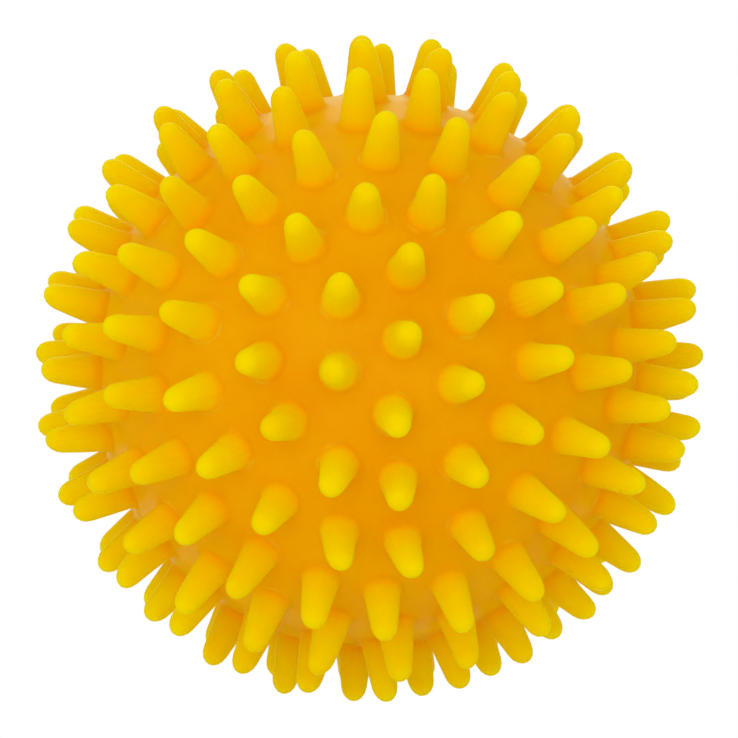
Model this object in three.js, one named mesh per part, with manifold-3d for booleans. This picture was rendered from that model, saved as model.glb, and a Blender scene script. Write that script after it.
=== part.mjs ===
// A spiky massage ball: a hollow ball of soft vinyl, moulded in one piece with rings of tapered spikes,
// and the small plug that closes its air hole.
//
// Millimetres, +Z up. The origin is the centre of the ball, and Y is the axis of the mould: the front
// pole, with a spike on it, points along -Y, and the air hole lies at the back pole, along +Y.

import * as THREE from 'three';
import { ConvexHull } from 'three/addons/math/ConvexHull.js';
import { mergeVertices } from 'three/addons/utils/BufferGeometryUtils.js';
import Module from 'manifold-3d';

// The skin
const SKIN_DIAMETER = 65.6; // outside, between the spikes
const WALL = 2.2; // thickness of the skin, and of the socket round the air hole

// The spikes
const SPIKE_LENGTH = 7.2; // from the skin to the tip
const SPIKE_FOOT_DIAMETER = 4.5; // where the flank meets the skin
const SPIKE_TIP_DIAMETER = 3.1; // of the ball that rounds the tip
const SPIKE_GAP = 2.75; // least bare skin between two feet of one ring
const RING_TURNS = [0, 23.5, -7.4, -7.7, 2, 8.9, 0.8]; // degrees, from a pole out to the parting plane
const BACK_HALF_TURN = -4.2; // degrees, of the back half of the mould against the front half

// The air hole's socket, inside the skin
const SOCKET_DEPTH = 10; // from the flat land down to the socket's inner end
const SOCKET_CHAMFER = 0.8; // at the socket's inner end
const LAND_MARGIN = 0.7; // flat land left bare round the plug's head

// The plug
const HEAD_DIAMETER = 7.2;
const HEAD_THICKNESS = 1.5;
const HEAD_EDGE_RADIUS = 0.5;
const STEM_DIAMETER = 3.6;
const RIB_COUNT = 3; // sealing ribs round the stem
const RIB_HEIGHT = 0.3;
const NOSE_LENGTH = 1.4; // tapered end that looks out of the socket
const NOSE_DIAMETER = 2.2;
const CLEARANCE = 0.3; // between the plug and the skin, on every side

// Fineness of the facets
const SPIKE_SIDES = 7;
const TURNING_SIDES = 28;
const CAVITY_SIDES = 30;
const EDGE_STEPS = 3;

const TURN = 2 * Math.PI;
const RADIAN = Math.PI / 180;
const POLE_TURN = 25; // degrees, an axis closer to Y than this is squared against Z

// Sizes that follow from the ones above
const skinRadius = SKIN_DIAMETER / 2;
const footRadius = SPIKE_FOOT_DIAMETER / 2;
const tipRadius = SPIKE_TIP_DIAMETER / 2;
const headRadius = HEAD_DIAMETER / 2;
const stemRadius = STEM_DIAMETER / 2;
const boreRadius = stemRadius + RIB_HEIGHT + CLEARANCE;
const socketRadius = boreRadius + WALL;
const landRadius = headRadius + LAND_MARGIN;
const landY = Math.sqrt(skinRadius ** 2 - landRadius ** 2);
const socketEndY = landY - SOCKET_DEPTH;
const headBottomY = landY + CLEARANCE;
const headTopY = headBottomY + HEAD_THICKNESS;

const wasm = await Module();
wasm.setup();

function solidOf(geometry) {
  const bare = geometry.clone();
  bare.deleteAttribute('normal');
  bare.deleteAttribute('uv');
  const merged = mergeVertices(bare);
  const vertProperties = new Float32Array(merged.attributes.position.array);
  const triVerts = new Uint32Array(merged.index.array);
  return new wasm.Manifold(new wasm.Mesh({ numProp: 3, vertProperties, triVerts }));
}

function geometryOf(solid) {
  const { vertProperties, triVerts } = solid.getMesh();
  const geometry = new THREE.BufferGeometry();
  geometry.setAttribute('position', new THREE.BufferAttribute(vertProperties, 3));
  geometry.setIndex(new THREE.BufferAttribute(triVerts, 1));
  geometry.computeVertexNormals();
  return geometry;
}

// A solid of revolution about Y, from a profile of [radius, y] pairs that runs upwards.
function turned(profile) {
  const points = profile.map(([radius, y]) => new THREE.Vector2(radius, y));
  return new THREE.LatheGeometry(points, TURNING_SIDES);
}

// The axes of the spikes. The rings of a half lie at even steps from its pole to its parting plane, each
// with as many spikes as fit, and the land of the air hole is kept clear.
function spikeAxes() {
  const stepsFromPoleToPole = 2 * RING_TURNS.length - 1;
  const ringStep = Math.PI / stepsFromPoleToPole;
  const pitch = SPIKE_FOOT_DIAMETER + SPIKE_GAP;
  const landReach = Math.asin(landRadius / skinRadius) + Math.asin(footRadius / skinRadius);
  const halves = [
    { poleY: -1, halfTurn: 0, clearOfPole: 0 },
    { poleY: 1, halfTurn: BACK_HALF_TURN, clearOfPole: landReach },
  ];
  const axes = [];
  for (const { poleY, halfTurn, clearOfPole } of halves) {
    RING_TURNS.forEach((ringTurn, ring) => {
      const polar = ring * ringStep;
      if (polar < clearOfPole) return;
      const count = Math.max(1, Math.floor((TURN * skinRadius * Math.sin(polar)) / pitch));
      for (let i = 0; i < count; i += 1) {
        const azimuth = (ringTurn + halfTurn) * RADIAN + (TURN * i) / count;
        axes.push(
          new THREE.Vector3(
            Math.sin(polar) * Math.cos(azimuth),
            poleY * Math.cos(polar),
            Math.sin(polar) * Math.sin(azimuth),
          ),
        );
      }
    });
  }
  return axes;
}

// The rings that make up a spike, as [radius, distance from the ball's centre], from the foot to the top
// of the tip. The flank is the line from the foot that touches the tip's ball.
function spikeRings() {
  // A polygon of this circumradius has the area of the round section.
  const corner = Math.sqrt(TURN / (SPIKE_SIDES * Math.sin(TURN / SPIKE_SIDES)));
  const footCorner = footRadius * corner;
  const footHeight = Math.sqrt(skinRadius ** 2 - footCorner ** 2);
  const tipCentre = skinRadius + SPIKE_LENGTH - tipRadius;
  const rise = tipCentre - footHeight;
  const flankLean = Math.atan2(footRadius, rise) - Math.asin(tipRadius / Math.hypot(footRadius, rise));
  const crownLean = (flankLean + Math.PI / 2) / 2;
  const onTip = (lean) => [tipRadius * Math.cos(lean) * corner, tipCentre + tipRadius * Math.sin(lean)];
  return [[footCorner, footHeight], onTip(flankLean), onTip(crownLean)];
}

// The outside of the ball as one closed surface: every spike from its foot ring up, and the skin between
// the feet, which is the convex hull of the feet and of the rim of the land.
function outerGeometry() {
  const points = [];
  const triangles = [];
  const hullPoints = [];
  const indexOfPoint = new Map();
  const rings = spikeRings();
  const addPoint = (point) => points.push(point) - 1;
  const addSkinPoint = (point) => {
    hullPoints.push(point);
    indexOfPoint.set(point, addPoint(point));
  };

  for (const axis of spikeAxes()) {
    const nearPole = Math.abs(axis.y) > Math.cos(POLE_TURN * RADIAN);
    const away = nearPole ? new THREE.Vector3(0, 0, 1) : new THREE.Vector3(0, 1, 0);
    const across = new THREE.Vector3().crossVectors(away, axis).normalize();
    const along = new THREE.Vector3().crossVectors(axis, across);
    const first = points.length;
    rings.forEach(([radius, height], level) => {
      for (let side = 0; side < SPIKE_SIDES; side += 1) {
        const angle = (TURN * side) / SPIKE_SIDES;
        const point = axis
          .clone()
          .multiplyScalar(height)
          .addScaledVector(across, radius * Math.cos(angle))
          .addScaledVector(along, radius * Math.sin(angle));
        if (level === 0) addSkinPoint(point);
        else addPoint(point);
      }
    });
    const top = addPoint(axis.clone().multiplyScalar(skinRadius + SPIKE_LENGTH));
    // The foot's centre belongs to the hull alone, and marks the hull's faces that the spike covers.
    hullPoints.push(axis.clone().multiplyScalar(skinRadius));

    for (let side = 0; side < SPIKE_SIDES; side += 1) {
      const next = (side + 1) % SPIKE_SIDES;
      for (let level = 0; level + 1 < rings.length; level += 1) {
        const low = first + level * SPIKE_SIDES;
        const high = low + SPIKE_SIDES;
        triangles.push(low + side, low + next, high + next, low + side, high + next, high + side);
      }
      const crown = first + (rings.length - 1) * SPIKE_SIDES;
      triangles.push(crown + side, crown + next, top);
    }
  }

  for (let side = 0; side < TURNING_SIDES; side += 1) {
    const angle = (TURN * side) / TURNING_SIDES;
    addSkinPoint(new THREE.Vector3(landRadius * Math.cos(angle), landY, landRadius * Math.sin(angle)));
  }

  for (const face of new ConvexHull().setFromPoints(hullPoints).faces) {
    const edges = [face.edge, face.edge.next, face.edge.prev];
    const corners = edges.map((edge) => indexOfPoint.get(edge.head().point));
    if (!corners.includes(undefined)) triangles.push(...corners);
  }

  const geometry = new THREE.BufferGeometry().setFromPoints(points);
  geometry.setIndex(triangles);
  return geometry;
}

// The hollow ball: its outside, less the air space, which leaves a socket standing in from the land, and
// less the bore through that socket.
function skinGeometry() {
  const socket = solidOf(
    turned([
      [0, socketEndY],
      [socketRadius - SOCKET_CHAMFER, socketEndY],
      [socketRadius, socketEndY + SOCKET_CHAMFER],
      [socketRadius, skinRadius],
      [0, skinRadius],
    ]),
  );
  const bore = solidOf(
    turned([
      [0, socketEndY - WALL],
      [boreRadius, socketEndY - WALL],
      [boreRadius, skinRadius + WALL],
      [0, skinRadius + WALL],
    ]),
  );
  const inside = solidOf(new THREE.SphereGeometry(skinRadius - WALL, CAVITY_SIDES, CAVITY_SIDES / 2));
  const airSpace = inside.subtract(socket);
  return geometryOf(solidOf(outerGeometry()).subtract(airSpace).subtract(bore));
}

// The plug: a flat head with a rounded edge, and a ribbed stem that ends in a tapered nose.
function plugGeometry() {
  const profile = [
    [0, socketEndY - NOSE_LENGTH],
    [NOSE_DIAMETER / 2, socketEndY - NOSE_LENGTH],
    [stemRadius, socketEndY],
  ];
  const ribPitch = SOCKET_DEPTH / (RIB_COUNT + 1);
  for (let rib = 1; rib <= RIB_COUNT; rib += 1) {
    const ribY = socketEndY + rib * ribPitch;
    profile.push(
      [stemRadius, ribY - RIB_HEIGHT],
      [stemRadius + RIB_HEIGHT, ribY],
      [stemRadius, ribY + RIB_HEIGHT],
    );
  }
  profile.push([stemRadius, headBottomY], [headRadius, headBottomY]);
  for (let step = 0; step <= EDGE_STEPS; step += 1) {
    const angle = (step / EDGE_STEPS) * (Math.PI / 2);
    profile.push([
      headRadius - HEAD_EDGE_RADIUS * (1 - Math.cos(angle)),
      headTopY - HEAD_EDGE_RADIUS * (1 - Math.sin(angle)),
    ]);
  }
  profile.push([0, headTopY]);
  return geometryOf(solidOf(turned(profile)));
}

function namedMesh(name, geometry, material) {
  const mesh = new THREE.Mesh(geometry, new THREE.MeshStandardMaterial(material));
  mesh.name = name;
  return mesh;
}

const ball = new THREE.Group();
ball.add(
  namedMesh('spiked_skin', skinGeometry(), { color: 0xf0c010, roughness: 0.42, metalness: 0 }),
  namedMesh('valve_plug', plugGeometry(), { color: 0xe9e4d6, roughness: 0.5, metalness: 0 }),
);

export default ball;
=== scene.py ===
"""A spiky massage ball: the moulded vinyl skin with its spikes, the plug in its air hole, and a stage.

Metres, +Z up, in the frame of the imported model. Y is the axis of the mould: the front pole points along -Y,
and the air hole lies along +Y.
"""

import math

import bmesh
import bpy
import numpy as np
from bpy.props import FloatProperty, FloatVectorProperty, IntProperty, PointerProperty
from mathutils import Matrix, Vector


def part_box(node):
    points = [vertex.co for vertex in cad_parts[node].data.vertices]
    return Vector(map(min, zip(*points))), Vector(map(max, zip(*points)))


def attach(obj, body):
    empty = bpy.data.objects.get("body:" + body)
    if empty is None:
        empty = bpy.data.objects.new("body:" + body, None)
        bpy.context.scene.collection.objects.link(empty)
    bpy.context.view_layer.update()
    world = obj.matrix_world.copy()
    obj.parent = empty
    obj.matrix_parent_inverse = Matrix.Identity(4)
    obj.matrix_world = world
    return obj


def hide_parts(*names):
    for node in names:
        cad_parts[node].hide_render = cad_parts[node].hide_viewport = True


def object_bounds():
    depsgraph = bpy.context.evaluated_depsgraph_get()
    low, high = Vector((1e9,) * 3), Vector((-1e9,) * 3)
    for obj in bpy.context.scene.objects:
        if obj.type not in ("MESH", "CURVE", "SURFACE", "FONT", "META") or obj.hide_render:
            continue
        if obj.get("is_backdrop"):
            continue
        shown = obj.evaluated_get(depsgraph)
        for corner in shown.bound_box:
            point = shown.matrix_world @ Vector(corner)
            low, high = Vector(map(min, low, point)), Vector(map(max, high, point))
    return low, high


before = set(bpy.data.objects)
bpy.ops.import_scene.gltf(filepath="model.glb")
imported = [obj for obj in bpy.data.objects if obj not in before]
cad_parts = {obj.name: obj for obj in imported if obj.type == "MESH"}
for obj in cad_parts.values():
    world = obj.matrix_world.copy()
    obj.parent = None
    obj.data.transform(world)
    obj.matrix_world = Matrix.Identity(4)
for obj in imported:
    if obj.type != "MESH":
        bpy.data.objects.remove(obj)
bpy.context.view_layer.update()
SKIN_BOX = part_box("spiked_skin")
PLUG_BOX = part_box("valve_plug")

bl_info = {
    "name": "Spiky Massage Ball",
    "version": (1, 0, 0),
    "blender": (4, 5, 0),
    "location": "View3D > Sidebar > Massage Ball",
    "description": "Builds a soft vinyl massage ball with its spikes, its air plug and a plain stage",
    "category": "Add Mesh",
}

# Sizes that the frame gives
FRONT_TIP = -SKIN_BOX[0][1]
PLUG_HEAD_RADIUS = PLUG_BOX[1][0]
PLUG_NOSE_Y = PLUG_BOX[0][1]
PLUG_TOP_Y = PLUG_BOX[1][1]

# The rings of spikes
RING_TURNS = (0.0, 23.5, -7.4, -7.7, 2.0, 8.9, 0.8)  # degrees, from a pole out to the parting plane
RING_STEP = math.pi / (2 * len(RING_TURNS) - 1)  # polar angle from one ring to the next
COUNT_SLACK = 1e-6  # keeps rounding from taking a spike off a ring that is just full
LEAN_POWER = 1.5  # of a spike's lean over its height: above one, it bends more towards the tip

# Directions
FULL_TURN = 2 * math.pi
MOULD_AXIS = np.array([0.0, 1.0, 0.0])
ALONG_MOULD = 0.9  # cosine to the mould's axis past which an axis is squared against Z

# Fineness of the surfaces
POINTS_PER_CELL_SIDE = 3
WEB_STEPS = 1
FILLET_STEPS = 2
FLANK_STEPS = 2
DOME_STEPS = 4
INSIDE_STEPS = 28
PLUG_SIDES = 56
EDGE_STEPS = 6
WELD_DISTANCE = 1e-7

# Sockets of a colour mix
MIX_FACTOR = 0
MIX_FIRST = 6
MIX_SECOND = 7
MIX_RESULT = 2

# What both vinyls show
SPECKED_SHARE = 0.1  # of the cells that could hold a speck of dust
NOISE_MIDDLE = 0.5  # mean of a noise

# The yellow vinyl, with heights above the skin in fillets of a spike's foot
PAINTED_HIGHLIGHT_BAND = (0.05, 0.45)  # heights of the painted highlight: pale arcs at the feet, where gloss on the fillets would shine
PAINTED_HIGHLIGHT_PEAK = 0.5  # share of the band at which the painted highlight is strongest
PAINTED_HIGHLIGHT_PATCHES = (0.56, 0.70)  # noise from which the painted highlight shows, and at which it is whole
SHEEN_TOP = 0.5  # height at which the bare skin's sheen ends
SHEEN_WEIGHT = 0.45
ROOT_TOP = 2.0  # height at which the root's colour is reached
YELLOW_TOP = 0.55  # share of a spike's length at which the tip's colour is reached
YELLOW_CLOUDS = (0.3, 0.7, 0.0, 0.7)  # noise, from and to, and the strength of the tint there
PARTING_STRENGTH = 0.3
CLOUD_TINT = (0.97, 0.80, 0.6)
# colour of the painted highlight: pale arcs at the feet, where gloss on the fillets would shine
PAINTED_HIGHLIGHT_COLOUR = (1.0, 0.68, 0.03)
PARTING_TINT = (0.95, 0.72, 0.5)
YELLOW_DUST = (0.45, 0.22, 0.02)

# The plug's vinyl
PLUG_CLOUDS = (0.35, 0.75, 0.0, 0.5)  # noise, from and to, and the strength of the soil there
SOIL_TINT = (0.90, 0.82, 0.62)
PLUG_DUST = (0.32, 0.26, 0.18)

# Places and sides of the square lamps, which are all turned to the ball's centre
OVERHEAD_LAMP = ((0.05, 0.12, 0.62), 0.6)
REAR_LAMP = ((0.0, 0.45, 0.42), 0.3)
FRONT_LAMP = ((-0.2, -0.8, 0.0), 0.7)
CLIP_START = 0.01


class BallSkinSettings(bpy.types.PropertyGroup):
    """Sizes and colours of the moulded skin."""

    spike_length: FloatProperty(
        name="Spike Length", description="From the skin to the tip", default=0.0072, unit="LENGTH")
    foot_diameter: FloatProperty(
        name="Foot Diameter", description="Where the flank meets the skin", default=0.0045, unit="LENGTH")
    tip_diameter: FloatProperty(
        name="Tip Diameter", description="Of the ball that rounds the tip", default=0.0031, unit="LENGTH")
    tip_stretch: FloatProperty(
        name="Tip Stretch", description="Length of the rounded tip as a share of its radius", default=1.3)
    foot_fillet: FloatProperty(
        name="Foot Fillet", description="Reach of the rounding at the foot", default=0.0007, unit="LENGTH")
    spike_gap: FloatProperty(
        name="Spike Gap", description="Least bare skin between two feet of a ring", default=0.00275,
        unit="LENGTH")
    back_half_turn: FloatProperty(
        name="Back Half Turn", description="Turn of the back half of the mould", default=math.radians(-4.2),
        subtype="ANGLE")
    wall: FloatProperty(
        name="Wall", description="Thickness of the skin", default=0.0022, unit="LENGTH")
    bore_diameter: FloatProperty(
        name="Bore Diameter", description="Of the air hole", default=0.0048, unit="LENGTH")
    socket_depth: FloatProperty(
        name="Socket Depth", description="From the land to the socket's inner end", default=0.010,
        unit="LENGTH")
    land_margin: FloatProperty(
        name="Land Margin", description="Flat land left round the plug's head", default=0.0007,
        unit="LENGTH")
    parting_width: FloatProperty(
        name="Parting Width", description="Of the line where the halves of the mould meet", default=0.0004,
        unit="LENGTH")
    lean: FloatProperty(
        name="Lean", description="How far a soft spike's tip strays from its axis", default=0.00035,
        unit="LENGTH")
    stray: FloatProperty(
        name="Stray", description="How far a spike's foot strays from its ring", default=0.0003,
        unit="LENGTH")
    length_spread: FloatProperty(
        name="Length Spread", description="Share by which the spikes differ in length", default=0.02)
    seed: IntProperty(name="Seed", description="Picks the spikes' irregularities", default=7)
    # The skin's, roots' and tips' colours are partly the vinyl's own and partly painted light: a deeper
    # orange for the shade between the spikes, a lighter yellow for the light through the thin tips.
    skin_colour: FloatVectorProperty(
        name="Skin Colour", description="Of the thick vinyl between the spikes", subtype="COLOR",
        default=(0.995, 0.435, 0.0))
    root_colour: FloatVectorProperty(
        name="Root Colour", description="Of the spikes just above the skin", subtype="COLOR",
        default=(0.87, 0.578, 0.0))
    tip_colour: FloatVectorProperty(
        name="Tip Colour", description="Of the thin, lighter tips", subtype="COLOR",
        default=(0.84, 0.645, 0.0))


class AirPlugSettings(bpy.types.PropertyGroup):
    """Sizes and colour of the plug in the air hole."""

    head_thickness: FloatProperty(
        name="Head Thickness", description="Of the flat head", default=0.0015, unit="LENGTH")
    edge_radius: FloatProperty(
        name="Edge Radius", description="Rounding of the head's outer edge", default=0.0005, unit="LENGTH")
    stem_diameter: FloatProperty(
        name="Stem Diameter", description="Between the ribs", default=0.0036, unit="LENGTH")
    rib_height: FloatProperty(
        name="Rib Height", description="How far the ribs stand out of the stem", default=0.0003,
        unit="LENGTH")
    rib_count: IntProperty(name="Ribs", description="Sealing ribs round the stem", default=3)
    nose_length: FloatProperty(
        name="Nose Length", description="Tapered end of the stem", default=0.0014, unit="LENGTH")
    nose_diameter: FloatProperty(
        name="Nose Diameter", description="Of the blunt end of the nose", default=0.0022, unit="LENGTH")
    gate_diameter: FloatProperty(
        name="Gate Diameter", description="Dimple that moulding leaves in the head", default=0.0014,
        unit="LENGTH")
    gate_depth: FloatProperty(
        name="Gate Depth", description="Depth of that dimple", default=0.00025, unit="LENGTH")
    colour: FloatVectorProperty(
        name="Colour", description="Of the plug's vinyl", subtype="COLOR", default=(0.78, 0.75, 0.66))


class BallStageSettings(bpy.types.PropertyGroup):
    """Camera, light and floor."""

    camera_azimuth: FloatProperty(
        name="Azimuth", description="Camera's turn about the ball", default=math.radians(-6.45),
        subtype="ANGLE")
    camera_elevation: FloatProperty(
        name="Elevation", description="Camera's height about the ball", default=math.radians(-5.2),
        subtype="ANGLE")
    camera_roll: FloatProperty(
        name="Roll", description="Camera's roll about its view", default=math.radians(-1.05),
        subtype="ANGLE")
    camera_distance: FloatProperty(
        name="Distance", description="From the camera to the ball's centre", default=0.58, unit="LENGTH")
    lens: FloatProperty(name="Lens", description="Focal length in millimetres", default=237.0)
    overhead_power: FloatProperty(
        name="Overhead Power", description="Of the soft lamp above the ball", default=0.3, unit="POWER")
    front_power: FloatProperty(
        name="Front Power", description="Of the soft lamp behind the camera", default=2.2, unit="POWER")
    rear_power: FloatProperty(
        name="Rear Power", description="Of the soft lamp high behind the ball", default=0.4, unit="POWER")
    sky_strength: FloatProperty(
        name="Sky Strength", description="Of the even light from all round", default=0.75)
    floor_size: FloatProperty(
        name="Floor Size", description="Side of the floor", default=1.2, unit="LENGTH")
    floor_fade_start: FloatProperty(
        name="Floor Fade Start", description="Distance at which the floor starts to fade", default=0.015,
        unit="LENGTH")
    floor_fade_end: FloatProperty(
        name="Floor Fade End", description="Distance at which the floor is gone", default=0.08,
        unit="LENGTH")
    floor_cover: FloatProperty(
        name="Floor Cover", description="How much of the light from below the milky floor stops",
        default=0.4, subtype="FACTOR")
    floor_glow: FloatProperty(
        name="Floor Glow", description="Light from below that makes the floor white to the camera",
        default=0.2)
    floor_colour: FloatVectorProperty(
        name="Floor Colour", description="Of the pale floor", subtype="COLOR", default=(0.90, 0.90, 0.90))


def unit(vectors):
    """Vectors scaled to length one along their last axis."""
    return vectors / np.linalg.norm(vectors, axis=-1, keepdims=True)


def row_dots(first, second):
    """Dot product of each row of one array with the same row of the other."""
    return np.einsum("ij,ij->i", first, second)


def tangent_frames(axes):
    """Two unit vectors square to each axis, the first two legs of a right-handed frame."""
    near_pole = np.abs(axes[:, 1:2]) > ALONG_MOULD
    away = np.where(near_pole, (0.0, 0.0, 1.0), MOULD_AXIS)
    across = unit(np.cross(away, axes))
    return across, np.cross(axes, across)


def spike_axes(skin, skin_radius, land_radius):
    """Unit axes of the spikes: rings at even steps of polar angle from each pole to the parting plane, each
    ring with as many spikes as fit at the least pitch, and none on the land of the air hole."""
    pitch = skin.foot_diameter + skin.spike_gap
    land_reach = math.asin(land_radius / skin_radius) + math.asin(skin.foot_diameter / 2 / skin_radius)
    rings = []
    for pole_y, half_turn, clear in ((-1.0, 0.0, 0.0), (1.0, skin.back_half_turn, land_reach)):
        for ring, ring_turn in enumerate(RING_TURNS):
            polar = ring * RING_STEP
            if polar < clear:
                continue
            around = FULL_TURN * skin_radius * math.sin(polar)
            count = max(1, math.floor(around / pitch + COUNT_SLACK))
            azimuth = math.radians(ring_turn) + half_turn + FULL_TURN * np.arange(count) / count
            height = np.full(count, pole_y * math.cos(polar))
            rings.append(np.stack(
                [math.sin(polar) * np.cos(azimuth), height, math.sin(polar) * np.sin(azimuth)], axis=1))
    return np.concatenate(rings)


def strayed(axes, skin, skin_radius, rng):
    """Axes moved a little to both sides, as the spikes of a real mould stray from their rings."""
    across, along = tangent_frames(axes)
    stray = rng.uniform(-1, 1, (len(axes), 2)) * skin.stray / skin_radius
    return unit(axes + stray[:, :1] * across + stray[:, 1:] * along)


def hull_triangles(points):
    """Triangles of the convex hull of points on a sphere, as rows of three indices turned outwards."""
    hull = bmesh.new()
    corners = [hull.verts.new(point) for point in points]
    bmesh.ops.convex_hull(hull, input=corners)
    hull.verts.index_update()
    rows = np.array([[corner.index for corner in face.verts] for face in hull.faces])
    hull.free()
    a, b, c = points[rows[:, 0]], points[rows[:, 1]], points[rows[:, 2]]
    inward = row_dots(np.cross(b - a, c - a), a + b + c) < 0
    rows[inward] = rows[inward][:, ::-1]
    return rows


def cell_corners(sites, spread):
    """The corners of each site's cell on the sphere, grouped by how many there are: pairs of site numbers
    and of unit corner directions, counter-clockwise seen from outside. Each site is lifted by its spread, so
    that a site with more of it gets a wider cell. A corner is the direction that three neighbouring sites
    share, which is the outward normal of their triangle."""
    lifted = sites * spread[:, None]
    rows = hull_triangles(lifted)
    a, b, c = lifted[rows[:, 0]], lifted[rows[:, 1]], lifted[rows[:, 2]]
    corners = unit(np.cross(b - a, c - a))
    site = rows.ravel()
    triangle = np.repeat(np.arange(len(rows)), 3)
    across, along = tangent_frames(sites)
    offset = corners[triangle]
    angle = np.arctan2(row_dots(offset, along[site]), row_dots(offset, across[site]))
    order = np.lexsort((angle, site))
    count = np.bincount(site, minlength=len(sites))
    start = np.concatenate([[0], np.cumsum(count)[:-1]])
    groups = []
    for sides in np.unique(count):
        members = np.flatnonzero(count == sides)
        places = order[start[members][:, None] + np.arange(sides)]
        groups.append((members, corners[triangle[places]]))
    return groups


def land_spread(skin, skin_radius, land_radius):
    """Spread of the air hole's site, against one for a spike. It sets the edge between them halfway across
    the bare skin from the land's rim to the fillet of the nearest spike: there both sites' spreads, times
    the cosines of their angles to the edge, are equal."""
    rim = math.asin(land_radius / skin_radius)
    fillet = math.asin((skin.foot_diameter / 2 + skin.foot_fillet) / skin_radius)
    nearest = RING_STEP * math.ceil((rim + fillet) / RING_STEP)
    edge = (rim + nearest - fillet) / 2
    return math.cos(nearest - edge) / math.cos(edge)


def cell_outlines(corners):
    """Points along the sides of cells: each side is split evenly, and its points set back on the sphere."""
    share = np.arange(POINTS_PER_CELL_SIDE) / POINTS_PER_CELL_SIDE
    nearer = corners[:, :, None, :] * (1 - share)[None, None, :, None]
    further = np.roll(corners, -1, axis=1)[:, :, None, :] * share[None, None, :, None]
    points = unit(nearer + further)
    return points.reshape(len(corners), -1, 3)


def bezier(start, knee, end, steps):
    """Points of the quadratic curve that leaves start and reaches end along the lines to knee."""
    start, knee, end = np.array(start), np.array(knee), np.array(end)
    t = np.linspace(0, 1, steps + 1)[:, None]
    return (1 - t) ** 2 * start + 2 * t * (1 - t) * knee + t ** 2 * end


def spike_profile(skin, skin_radius):
    """Profile of a spike as rows of radius and height above the ball's centre: a fillet that leaves the
    round skin, the straight flank that touches the tip's half ellipse, and the tip itself. With heights
    divided by the stretch the ellipse is a circle, on which the touching point is found."""
    foot = skin.foot_diameter / 2
    tip = skin.tip_diameter / 2
    reach = foot + skin.foot_fillet
    start = np.array([reach, math.sqrt(skin_radius ** 2 - reach ** 2)])
    knee = np.array([foot, math.sqrt(skin_radius ** 2 - foot ** 2)])
    tip_length = tip * skin.tip_stretch
    tip_centre = skin_radius + skin.spike_length - tip_length
    rise = (tip_centre - knee[1]) / skin.tip_stretch
    lean = math.atan2(foot, rise) - math.asin(tip / math.hypot(foot, rise))
    shoulder = np.array([tip * math.cos(lean), tip_centre + tip_length * math.sin(lean)])
    end = knee + unit(shoulder - knee) * skin.foot_fillet
    fillet = bezier(start, knee, end, FILLET_STEPS)
    flank = end + (shoulder - end) * np.linspace(0, 1, FLANK_STEPS + 1)[1:, None]
    angle = np.linspace(lean, math.pi / 2, DOME_STEPS + 1)[1:]
    dome = np.stack([tip * np.cos(angle), tip_centre + tip_length * np.sin(angle)], axis=1)
    dome[-1, 0] = 0.0
    return np.concatenate([fillet, flank, dome])


def air_hole_profile(skin, skin_radius, land_radius):
    """Profile of the air hole as rows of radius and height: over the flat land, down the bore, round the end
    of the socket, up its outside and along the inside of the skin to the far pole."""
    land_y = math.sqrt(skin_radius ** 2 - land_radius ** 2)
    bore = skin.bore_diameter / 2
    socket = bore + skin.wall
    inside = skin_radius - skin.wall
    edge = skin.foot_fillet / 2
    end_y = land_y - skin.socket_depth
    lip = bezier([bore + edge, land_y], [bore, land_y], [bore, land_y - edge], FILLET_STEPS)
    walls = np.array([
        [bore, end_y + edge],
        [bore + edge, end_y],
        [socket - edge, end_y],
        [socket, end_y + edge],
    ])
    angle = np.linspace(math.asin(socket / inside), math.pi, INSIDE_STEPS)
    air_space = np.stack([inside * np.sin(angle), inside * np.cos(angle)], axis=1)
    air_space[-1, 0] = 0.0
    return np.concatenate([[[land_radius, land_y]], lip, walls, air_space])


def cell_patches(axes, outlines, profile, skin_radius):
    """Grids of points over cells, in order of cell, level and place round the axis. The first levels run
    over the round skin from the cell's outline to the profile's first ring, and the others follow the
    profile. The points of a ring are spread evenly, and turned so that on average they face the outline's
    points."""
    along_axis = np.einsum("nkc,nc->nk", outlines, axes)
    across, along = tangent_frames(axes)
    bearing = np.arctan2(
        np.einsum("nkc,nc->nk", outlines, along), np.einsum("nkc,nc->nk", outlines, across))
    even = FULL_TURN * np.arange(outlines.shape[1]) / outlines.shape[1]
    turn = np.angle(np.exp(1j * (bearing - even)).mean(axis=1))
    away = np.angle(np.exp(1j * (bearing - even - turn[:, None])))
    edge_angle = np.arccos(np.clip(along_axis, -1, 1))
    ring_angle = math.asin(profile[0, 0] / skin_radius)
    share = np.linspace(1, 0, WEB_STEPS + 1)[:-1, None]
    web_angle = edge_angle[:, None, :] * share + ring_angle * (1 - share)
    web_bearing = (even + turn[:, None])[:, None, :] + away[:, None, :] * share
    ring_bearing = np.repeat((even + turn[:, None])[:, None, :], len(profile), axis=1)
    level_bearing = np.concatenate([web_bearing, ring_bearing], axis=1)
    radius = np.concatenate([
        skin_radius * np.sin(web_angle),
        np.broadcast_to(profile[None, :, :1], ring_bearing.shape)], axis=1)
    height = np.concatenate([
        skin_radius * np.cos(web_angle),
        np.broadcast_to(profile[None, :, 1:], ring_bearing.shape)], axis=1)
    sideways = (np.cos(level_bearing)[..., None] * across[:, None, None, :]
                + np.sin(level_bearing)[..., None] * along[:, None, None, :])
    return radius[..., None] * sideways + height[..., None] * axes[:, None, None, :]


def bent_spikes(points, axes, skin, skin_radius, rng):
    """Spikes as soft moulding leaves them: each leans a little to one side, more towards its tip, and is a
    little longer or shorter than the next."""
    across, along = tangent_frames(axes)
    way = rng.normal(0, skin.lean, (len(axes), 2))
    stretch = rng.normal(0, skin.length_spread, len(axes))
    height = np.einsum("nlkc,nc->nlk", points, axes) - skin_radius
    share = np.clip(height / skin.spike_length, 0, 1)
    sideways = way[:, :1] * across + way[:, 1:] * along
    bent = points + (share ** LEAN_POWER)[..., None] * sideways[:, None, None, :]
    longer = share * skin.spike_length * stretch[:, None, None]
    return bent + longer[..., None] * axes[:, None, None, :]


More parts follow.
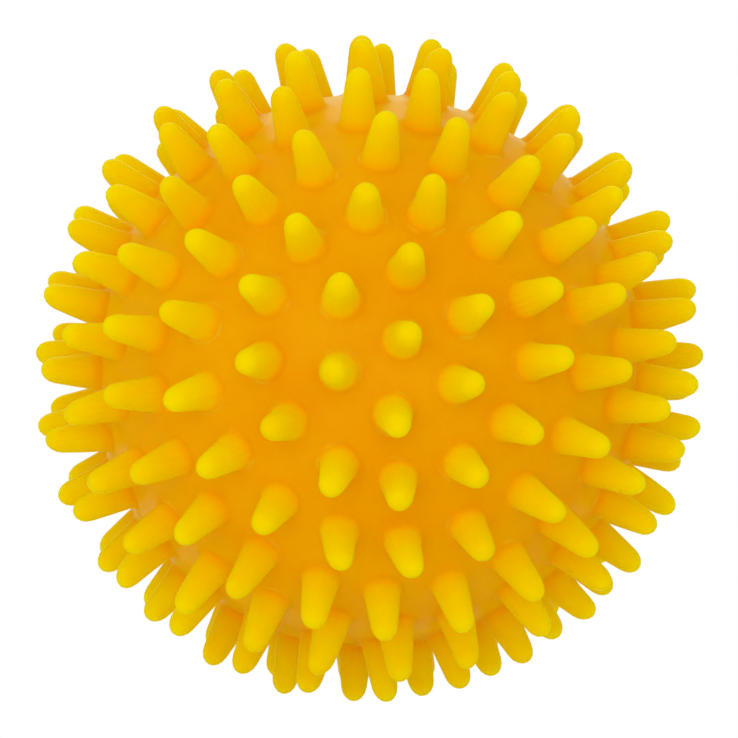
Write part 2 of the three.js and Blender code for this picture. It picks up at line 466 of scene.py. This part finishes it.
def grid_quads(cells, levels, around):
    """Faces of closed-round grids, as rows of four indices, turned outwards."""
    index = np.arange(cells * levels * around).reshape(cells, levels, around)
    beside = np.roll(index, -1, axis=2)
    quads = np.stack([index[:, :-1], beside[:, :-1], beside[:, 1:], index[:, 1:]], axis=-1)
    return quads.reshape(-1, 4)


def skin_surface(skin, skin_radius, land_radius):
    """Points and faces of the whole skin. The sphere is split into a cell for each spike and one for the air
    hole, and every cell carries its profile's patch from its outline inwards."""
    rng = np.random.default_rng(skin.seed)
    axes = strayed(spike_axes(skin, skin_radius, land_radius), skin, skin_radius, rng)
    air_hole = len(axes)
    sites = np.concatenate([axes, [MOULD_AXIS]])
    spread = np.append(np.ones(len(axes)), land_spread(skin, skin_radius, land_radius))
    spikes = spike_profile(skin, skin_radius)
    hole = air_hole_profile(skin, skin_radius, land_radius)
    points, quads, total = [], [], 0
    for members, corners in cell_corners(sites, spread):
        outlines = cell_outlines(corners)
        on_hole = members == air_hole
        for chosen, profile in ((~on_hole, spikes), (on_hole, hole)):
            if not chosen.any():
                continue
            cell_axes = sites[members[chosen]]
            patch = cell_patches(cell_axes, outlines[chosen], profile, skin_radius)
            if profile is spikes:
                patch = bent_spikes(patch, cell_axes, skin, skin_radius, rng)
            cells, levels, around, _ = patch.shape
            points.append(patch.reshape(-1, 3))
            quads.append(grid_quads(cells, levels, around) + total)
            total += cells * levels * around
    return np.concatenate(points), np.concatenate(quads)


def plug_profile(plug):
    """Profile of the plug as rows of radius and height, from the nose up: the tapered nose, the stem with
    its rounded ribs, the head with a rounded edge, and the gate's dimple in its middle."""
    stem = plug.stem_diameter / 2
    nose = plug.nose_diameter / 2
    gate = plug.gate_diameter / 2
    head = PLUG_HEAD_RADIUS
    soft = plug.rib_height / 2
    stem_foot = PLUG_NOSE_Y + plug.nose_length
    head_bottom = PLUG_TOP_Y - plug.head_thickness
    rows = [[[0.0, PLUG_NOSE_Y], [nose - soft, PLUG_NOSE_Y], [nose, PLUG_NOSE_Y + soft], [stem, stem_foot]]]
    swell = np.linspace(0, math.pi, EDGE_STEPS + 1)
    rib_pitch = (head_bottom - stem_foot) / (plug.rib_count + 1)
    for rib in range(1, plug.rib_count + 1):
        rib_y = stem_foot + rib * rib_pitch - plug.rib_height * np.cos(swell)
        rows.append(np.stack([stem + plug.rib_height * np.sin(swell), rib_y], axis=1))
    rows.append(bezier(
        [stem, head_bottom - soft], [stem, head_bottom], [stem + soft, head_bottom], FILLET_STEPS))
    rows.append(bezier(
        [head - soft, head_bottom], [head, head_bottom], [head, head_bottom + soft], FILLET_STEPS))
    turn = np.linspace(0, math.pi / 2, EDGE_STEPS + 1)
    rows.append(np.stack([
        head - plug.edge_radius * (1 - np.cos(turn)),
        PLUG_TOP_Y - plug.edge_radius * (1 - np.sin(turn))], axis=1))
    share = np.linspace(1, 0, EDGE_STEPS + 1)
    dip = plug.gate_depth * np.cos(share * math.pi / 2) ** 2
    rows.append(np.stack([gate * share, PLUG_TOP_Y - dip], axis=1))
    return np.concatenate(rows)


def turned_points(profile, sides):
    """Points of a profile turned about the mould's axis, in order of profile row and place round it."""
    angle = FULL_TURN * np.arange(sides) / sides
    sideways = np.stack([np.sin(angle), np.zeros(sides), np.cos(angle)], axis=1)
    radius, height = profile[:, 0], profile[:, 1]
    return radius[:, None, None] * sideways + height[:, None, None] * MOULD_AXIS


def welded_object(name, points, quads):
    """A smooth mesh object from points and faces, with points that coincide made one."""
    mesh = bpy.data.meshes.new(name)
    mesh.from_pydata(points.tolist(), [], quads.tolist())
    shape = bmesh.new()
    shape.from_mesh(mesh)
    bmesh.ops.remove_doubles(shape, verts=shape.verts, dist=WELD_DISTANCE)
    shape.to_mesh(mesh)
    shape.free()
    mesh.polygons.foreach_set("use_smooth", np.ones(len(mesh.polygons), dtype=bool))
    mesh.update()
    piece = bpy.data.objects.new(name, mesh)
    bpy.context.scene.collection.objects.link(piece)
    return piece


class NodeBoard:
    """Adds nodes to a tree and joins them. A source is a pair: a node, and an output's name or number."""

    def __init__(self, tree):
        self.tree = tree

    def add(self, kind, values=None, **settings):
        """A node with its settings, and with plain values on its entries."""
        node = self.tree.nodes.new(kind)
        for name, value in settings.items():
            setattr(node, name, value)
        for name, value in (values or {}).items():
            node.inputs[name].default_value = value
        return node

    def join(self, source, target, entry):
        """A link from a source to a node's entry."""
        node, output = source
        self.tree.links.new(node.outputs[output], target.inputs[entry])

    def calculate(self, operation, *values):
        """A sum of sources and plain numbers, in the order of the node's entries, as a source."""
        node = self.add("ShaderNodeMath", operation=operation)
        for entry, value in enumerate(values):
            if isinstance(value, tuple):
                self.join(value, node, entry)
            else:
                node.inputs[entry].default_value = value
        return node, "Value"

    def ramp(self, source, low, high, start=0.0, end=1.0, **settings):
        """A source's range from low to high, carried over to start and end and held there, as a source."""
        node = self.add("ShaderNodeMapRange", {
            "From Min": low, "From Max": high, "To Min": start, "To Max": end}, **settings)
        self.join(source, node, "Value")
        return node, "Result"

    def mix(self, blend, factor, first, second):
        """A plain second colour blended into the first, a source or a plain colour, as a source."""
        node = self.add("ShaderNodeMix", data_type="RGBA", blend_type=blend)
        self.join(factor, node, MIX_FACTOR)
        if hasattr(first[0], "outputs"):
            self.join(first, node, MIX_FIRST)
        else:
            node.inputs[MIX_FIRST].default_value = (*first, 1)
        node.inputs[MIX_SECOND].default_value = (*second, 1)
        return node, MIX_RESULT

    def distance(self, place):
        """Distance of a point from the object's origin, as a source."""
        node = self.add("ShaderNodeVectorMath", operation="LENGTH")
        self.join((place, "Object"), node, 0)
        return node, "Value"


def moulded_vinyl_group():
    """Node group of what every moulded vinyl surface shows: a faint cloudiness, an uneven gloss, the fine
    ripple of the mould's wall and a few specks of dust."""
    name = "Moulded Vinyl"
    if name in bpy.data.node_groups:
        return bpy.data.node_groups[name]
    group = bpy.data.node_groups.new(name, "ShaderNodeTree")
    entries = {
        "Cloud Scale": 90.0,
        "Ripple Scale": 1400.0,
        "Roughness": 0.4,
        "Roughness Spread": 0.12,
        "Speck Scale": 240.0,
        "Speck Size": 0.022,
    }
    for label, value in entries.items():
        socket = group.interface.new_socket(label, in_out="INPUT", socket_type="NodeSocketFloat")
        socket.default_value = value
    board = NodeBoard(group)
    given = board.add("NodeGroupInput")
    place = board.add("ShaderNodeTexCoord")
    cloud = board.add("ShaderNodeTexNoise", {"Detail": 3.0, "Roughness": 0.55})
    ripple = board.add("ShaderNodeTexNoise", {"Detail": 4.0, "Roughness": 0.6})
    cells = board.add("ShaderNodeTexVoronoi", {"Randomness": 1.0})
    for texture, scale in ((cloud, "Cloud Scale"), (ripple, "Ripple Scale"), (cells, "Speck Scale")):
        board.join((place, "Object"), texture, "Vector")
        board.join((given, scale), texture, "Scale")
    lot = board.add("ShaderNodeSeparateColor")
    board.join((cells, "Color"), lot, "Color")
    specked = board.calculate("GREATER_THAN", (lot, "Red"), 1 - SPECKED_SHARE)
    near_middle = board.calculate("LESS_THAN", (cells, "Distance"), (given, "Speck Size"))
    centred = board.calculate("SUBTRACT", (ripple, "Fac"), NOISE_MIDDLE)
    gloss = board.calculate("MULTIPLY_ADD", centred, (given, "Roughness Spread"), (given, "Roughness"))
    results = {
        "Cloud": (cloud, "Fac"),
        "Roughness": gloss,
        "Height": (ripple, "Fac"),
        "Specks": board.calculate("MULTIPLY", specked, near_middle),
    }
    for label in results:
        group.interface.new_socket(label, in_out="OUTPUT", socket_type="NodeSocketFloat")
    result = board.add("NodeGroupOutput")
    for label, source in results.items():
        board.join(source, result, label)
    return group


def new_material(name):
    """An empty node material and its board."""
    material = bpy.data.materials.new(name)
    material.use_nodes = True
    material.node_tree.nodes.clear()
    return material, NodeBoard(material.node_tree)


def vinyl_group_node(board, values):
    """The moulded vinyl group, placed in a material with its own values."""
    return board.add("ShaderNodeGroup", values, node_tree=moulded_vinyl_group())


def show_surface(board, surface, entries):
    """Joins sources to the shader's entries by name, and the shader to the material's surface."""
    for entry, source in entries.items():
        board.join(source, surface, entry)
    output = board.add("ShaderNodeOutputMaterial")
    board.join((surface, "BSDF"), output, "Surface")


def painted_foot_highlights(board, skin, skin_radius, place, distance):
    """Mask of the painted highlight at the spikes' feet: pale arcs in a band that rises and falls with
    height, broken up by a noise, standing in for gloss on the concave fillets."""
    low, high = (skin_radius + skin.foot_fillet * height for height in PAINTED_HIGHLIGHT_BAND)
    band = board.calculate("PINGPONG", board.ramp(distance, low, high), PAINTED_HIGHLIGHT_PEAK)
    noise = board.add("ShaderNodeTexNoise", {"Scale": 330.0, "Detail": 1.0})
    board.join((place, "Object"), noise, "Vector")
    return board.calculate("MULTIPLY", band, board.ramp((noise, "Fac"), *PAINTED_HIGHLIGHT_PATCHES))


def parting_line(board, skin, place):
    """Mask of the line where the halves of the mould meet: it fades with the distance from their plane."""
    axes = board.add("ShaderNodeSeparateXYZ")
    board.join((place, "Object"), axes, "Vector")
    from_plane = board.calculate("ABSOLUTE", (axes, "Y"))
    return board.ramp(
        from_plane, 0.0, skin.parting_width / 2, 1.0, 0.0, interpolation_type="SMOOTHSTEP")


def yellow_vinyl(skin, skin_radius):
    """Soft translucent vinyl, coloured by the distance from the ball's centre: orange at the skin and yellow
    up the spikes, partly the vinyl's own colour by its thickness and partly painted shade between the spikes
    and painted light through the thin tips, with a painted highlight in pale arcs at the feet. The bare skin
    alone has a sheen."""
    material, board = new_material("yellow_vinyl")
    place = board.add("ShaderNodeTexCoord")
    distance = board.distance(place)
    vinyl = vinyl_group_node(board, {"Roughness": 0.40, "Roughness Spread": 0.16})
    painted_highlights = painted_foot_highlights(board, skin, skin_radius, place, distance)
    parting = parting_line(board, skin, place)

    root_top = skin_radius + skin.foot_fillet * ROOT_TOP
    yellow_top = skin_radius + skin.spike_length * YELLOW_TOP
    above_skin = board.ramp(distance, skin_radius, root_top)
    up_spike = board.ramp(distance, root_top, yellow_top)
    clouds = board.ramp((vinyl, "Cloud"), *YELLOW_CLOUDS)
    faint_parting = board.calculate("MULTIPLY", parting, PARTING_STRENGTH)
    # orange at the skin to yellow at the tips: partly painted shade between the spikes and painted light
    # through the thin tips
    colour = board.mix("MIX", above_skin, skin.skin_colour, skin.root_colour)
    colour = board.mix("MIX", up_spike, colour, skin.tip_colour)
    colour = board.mix("MULTIPLY", clouds, colour, CLOUD_TINT)
    # painted highlight: pale arcs at the spikes' feet
    colour = board.mix("MIX", painted_highlights, colour, PAINTED_HIGHLIGHT_COLOUR)
    colour = board.mix("MULTIPLY", faint_parting, colour, PARTING_TINT)
    colour = board.mix("MIX", (vinyl, "Specks"), colour, YELLOW_DUST)

    ripple = board.add("ShaderNodeBump", {"Strength": 0.12, "Distance": 0.0002})
    ridge = board.add("ShaderNodeBump", {"Strength": 0.6, "Distance": 0.0001})
    board.join((vinyl, "Height"), ripple, "Height")
    board.join(parting, ridge, "Height")
    board.join((ripple, "Normal"), ridge, "Normal")

    sheen_top = skin_radius + skin.foot_fillet * SHEEN_TOP
    surface = board.add("ShaderNodeBsdfPrincipled", distribution="GGX", values={
        "IOR": 1.52, "Specular IOR Level": 0.005, "Specular Tint": (1.0, 0.7, 0.0, 1),
        "Coat IOR": 1.08, "Coat Roughness": 0.3,
        "Subsurface Weight": 1.0, "Subsurface Radius": (1.0, 0.6, 0.05), "Subsurface Scale": 0.003})
    show_surface(board, surface, {
        "Base Color": colour,
        "Roughness": (vinyl, "Roughness"),
        "Coat Weight": board.ramp(distance, skin_radius, sheen_top, SHEEN_WEIGHT, 0.0),
        "Normal": (ridge, "Normal"),
    })
    return material


def plug_vinyl(plug):
    """Firmer off-white vinyl, a little soiled and dusty."""
    material, board = new_material("plug_vinyl")
    vinyl = vinyl_group_node(board, {"Cloud Scale": 400.0, "Roughness": 0.46, "Speck Scale": 700.0})
    clouds = board.ramp((vinyl, "Cloud"), *PLUG_CLOUDS)
    colour = board.mix("MULTIPLY", clouds, plug.colour, SOIL_TINT)
    colour = board.mix("MIX", (vinyl, "Specks"), colour, PLUG_DUST)
    ripple = board.add("ShaderNodeBump", {"Strength": 0.15, "Distance": 0.0001})
    board.join((vinyl, "Height"), ripple, "Height")
    surface = board.add("ShaderNodeBsdfPrincipled", {
        "IOR": 1.50,
        "Subsurface Weight": 0.15, "Subsurface Radius": (1.0, 0.9, 0.7), "Subsurface Scale": 0.0008})
    show_surface(board, surface, {
        "Base Color": colour,
        "Roughness": (vinyl, "Roughness"),
        "Normal": (ripple, "Normal"),
    })
    return material


def pale_floor_material(stage):
    """Pale milky floor that lets light through, fades into the white surround and is bare from below."""
    material, board = new_material("pale_floor")
    place = board.add("ShaderNodeTexCoord")
    sides = board.add("ShaderNodeNewGeometry")
    path = board.add("ShaderNodeLightPath")
    cover = board.ramp(
        board.distance(place), stage.floor_fade_start, stage.floor_fade_end, stage.floor_cover, 0.0,
        interpolation_type="SMOOTHSTEP")
    top_side = board.calculate("SUBTRACT", 1.0, (sides, "Backfacing"))
    surface = board.add("ShaderNodeBsdfPrincipled", {
        "Base Color": (*stage.floor_colour, 1), "Roughness": 0.9, "Emission Color": (1, 1, 1, 1)})
    show_surface(board, surface, {
        "Alpha": board.calculate("MULTIPLY", cover, top_side),
        "Emission Strength": board.calculate("MULTIPLY", (path, "Is Camera Ray"), stage.floor_glow),
    })
    return material


def white_surround(scene, stage):
    """World that lights the ball evenly, and is plain white to the camera, in reflections and through
    glass."""
    world = bpy.data.worlds.new("white_surround")
    world.use_nodes = True
    world.node_tree.nodes.clear()
    board = NodeBoard(world.node_tree)
    path = board.add("ShaderNodeLightPath")
    glossy = board.calculate("MAXIMUM", (path, "Is Glossy Ray"), (path, "Is Transmission Ray"))
    seen = board.calculate("MAXIMUM", (path, "Is Camera Ray"), glossy)
    white = (1, 1, 1, 1)
    lighting = board.add("ShaderNodeBackground", {"Color": white, "Strength": stage.sky_strength})
    backdrop = board.add("ShaderNodeBackground", {"Color": white, "Strength": 1.0})
    choice = board.add("ShaderNodeMixShader")
    output = board.add("ShaderNodeOutputWorld")
    board.join(seen, choice, 0)
    board.join((lighting, "Background"), choice, 1)
    board.join((backdrop, "Background"), choice, 2)
    board.join((choice, "Shader"), output, "Surface")
    scene.world = world


def pale_floor(scene, stage, height):
    """A square floor at a height, square to Z."""
    half = stage.floor_size / 2
    corners = [(-half, -half, height), (half, -half, height), (half, half, height), (-half, half, height)]
    mesh = bpy.data.meshes.new("pale_floor")
    mesh.from_pydata(corners, [], [(0, 1, 2, 3)])
    mesh.materials.append(pale_floor_material(stage))
    floor = bpy.data.objects.new("pale_floor", mesh)
    scene.collection.objects.link(floor)
    return floor


def soft_lamp(scene, name, place, side, power):
    """A square area lamp at a place, turned to the ball's centre."""
    lamp = bpy.data.lights.new(name, "AREA")
    lamp.shape = "SQUARE"
    lamp.size = side
    lamp.energy = power
    holder = bpy.data.objects.new(name, lamp)
    holder.location = place
    holder.rotation_euler = (-Vector(place)).to_track_quat("-Z", "Y").to_euler()
    scene.collection.objects.link(holder)


def photo_camera(scene, stage):
    """The camera, on a sphere round the ball's centre: turned to it, and then rolled about its view."""
    turn, lift = stage.camera_azimuth, stage.camera_elevation
    level = math.cos(lift)
    towards = Vector((math.sin(turn) * level, -math.cos(turn) * level, math.sin(lift)))
    camera = bpy.data.cameras.new("photo_camera")
    camera.lens = stage.lens
    camera.clip_start = CLIP_START
    holder = bpy.data.objects.new("photo_camera", camera)
    facing = (-towards).to_track_quat("-Z", "Y").to_matrix().to_4x4()
    roll = Matrix.Rotation(stage.camera_roll, 4, "Z")
    holder.matrix_world = Matrix.Translation(towards * stage.camera_distance) @ facing @ roll
    scene.collection.objects.link(holder)
    return holder


class MASSAGEBALL_OT_spiked_skin(bpy.types.Operator):
    """Builds the hollow skin with its rings of spikes and its air hole"""

    bl_idname = "massage_ball.spiked_skin"
    bl_label = "Spiked Skin"

    def execute(self, context):
        skin = context.scene.massage_ball_skin
        skin_radius = FRONT_TIP - skin.spike_length
        land_radius = PLUG_HEAD_RADIUS + skin.land_margin
        points, quads = skin_surface(skin, skin_radius, land_radius)
        piece = welded_object("ball_spiked_skin", points, quads)
        piece.data.materials.append(yellow_vinyl(skin, skin_radius))
        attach(piece, "ball")
        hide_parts("spiked_skin")
        return {"FINISHED"}


class MASSAGEBALL_OT_air_plug(bpy.types.Operator):
    """Builds the ribbed plug that closes the air hole"""

    bl_idname = "massage_ball.air_plug"
    bl_label = "Air Plug"

    def execute(self, context):
        plug = context.scene.massage_ball_plug
        profile = plug_profile(plug)
        points = turned_points(profile, PLUG_SIDES).reshape(-1, 3)
        piece = welded_object("ball_air_plug", points, grid_quads(1, len(profile), PLUG_SIDES))
        piece.data.materials.append(plug_vinyl(plug))
        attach(piece, "plug")
        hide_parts("valve_plug")
        return {"FINISHED"}


class MASSAGEBALL_OT_stage(bpy.types.Operator):
    """Sets up the camera, the soft light and the pale floor"""

    bl_idname = "massage_ball.stage"
    bl_label = "Stage"

    def execute(self, context):
        scene = context.scene
        stage = scene.massage_ball_stage
        scene.view_settings.view_transform = "Standard"
        floor_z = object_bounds()[0][2]
        floor = pale_floor(scene, stage, floor_z)
        floor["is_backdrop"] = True
        white_surround(scene, stage)
        soft_lamp(scene, "overhead_lamp", *OVERHEAD_LAMP, stage.overhead_power)
        soft_lamp(scene, "rear_lamp", *REAR_LAMP, stage.rear_power)
        soft_lamp(scene, "front_lamp", *FRONT_LAMP, stage.front_power)
        scene.camera = photo_camera(scene, stage)
        return {"FINISHED"}


class MASSAGEBALL_PT_panel(bpy.types.Panel):
    """Lists the pieces of the ball and their settings"""

    bl_idname = "MASSAGEBALL_PT_panel"
    bl_label = "Massage Ball"
    bl_space_type = "VIEW_3D"
    bl_region_type = "UI"
    bl_category = "Massage Ball"

    def draw(self, context):
        scene = context.scene
        sections = (
            ("massage_ball.spiked_skin", scene.massage_ball_skin),
            ("massage_ball.air_plug", scene.massage_ball_plug),
            ("massage_ball.stage", scene.massage_ball_stage),
        )
        for operator, settings in sections:
            box = self.layout.box()
            box.operator(operator)
            for name in settings.__annotations__:
                box.prop(settings, name)


CLASSES = (
    BallSkinSettings,
    AirPlugSettings,
    BallStageSettings,
    MASSAGEBALL_OT_spiked_skin,
    MASSAGEBALL_OT_air_plug,
    MASSAGEBALL_OT_stage,
    MASSAGEBALL_PT_panel,
)


def register():
    for entry in CLASSES:
        bpy.utils.register_class(entry)
    bpy.types.Scene.massage_ball_skin = PointerProperty(type=BallSkinSettings)
    bpy.types.Scene.massage_ball_plug = PointerProperty(type=AirPlugSettings)
    bpy.types.Scene.massage_ball_stage = PointerProperty(type=BallStageSettings)


def unregister():
    del bpy.types.Scene.massage_ball_skin
    del bpy.types.Scene.massage_ball_plug
    del bpy.types.Scene.massage_ball_stage
    for entry in reversed(CLASSES):
        bpy.utils.unregister_class(entry)


def main():
    register()
    bpy.ops.massage_ball.spiked_skin()
    bpy.ops.massage_ball.air_plug()
    bpy.ops.massage_ball.stage()


if __name__ == "__main__":
    main()
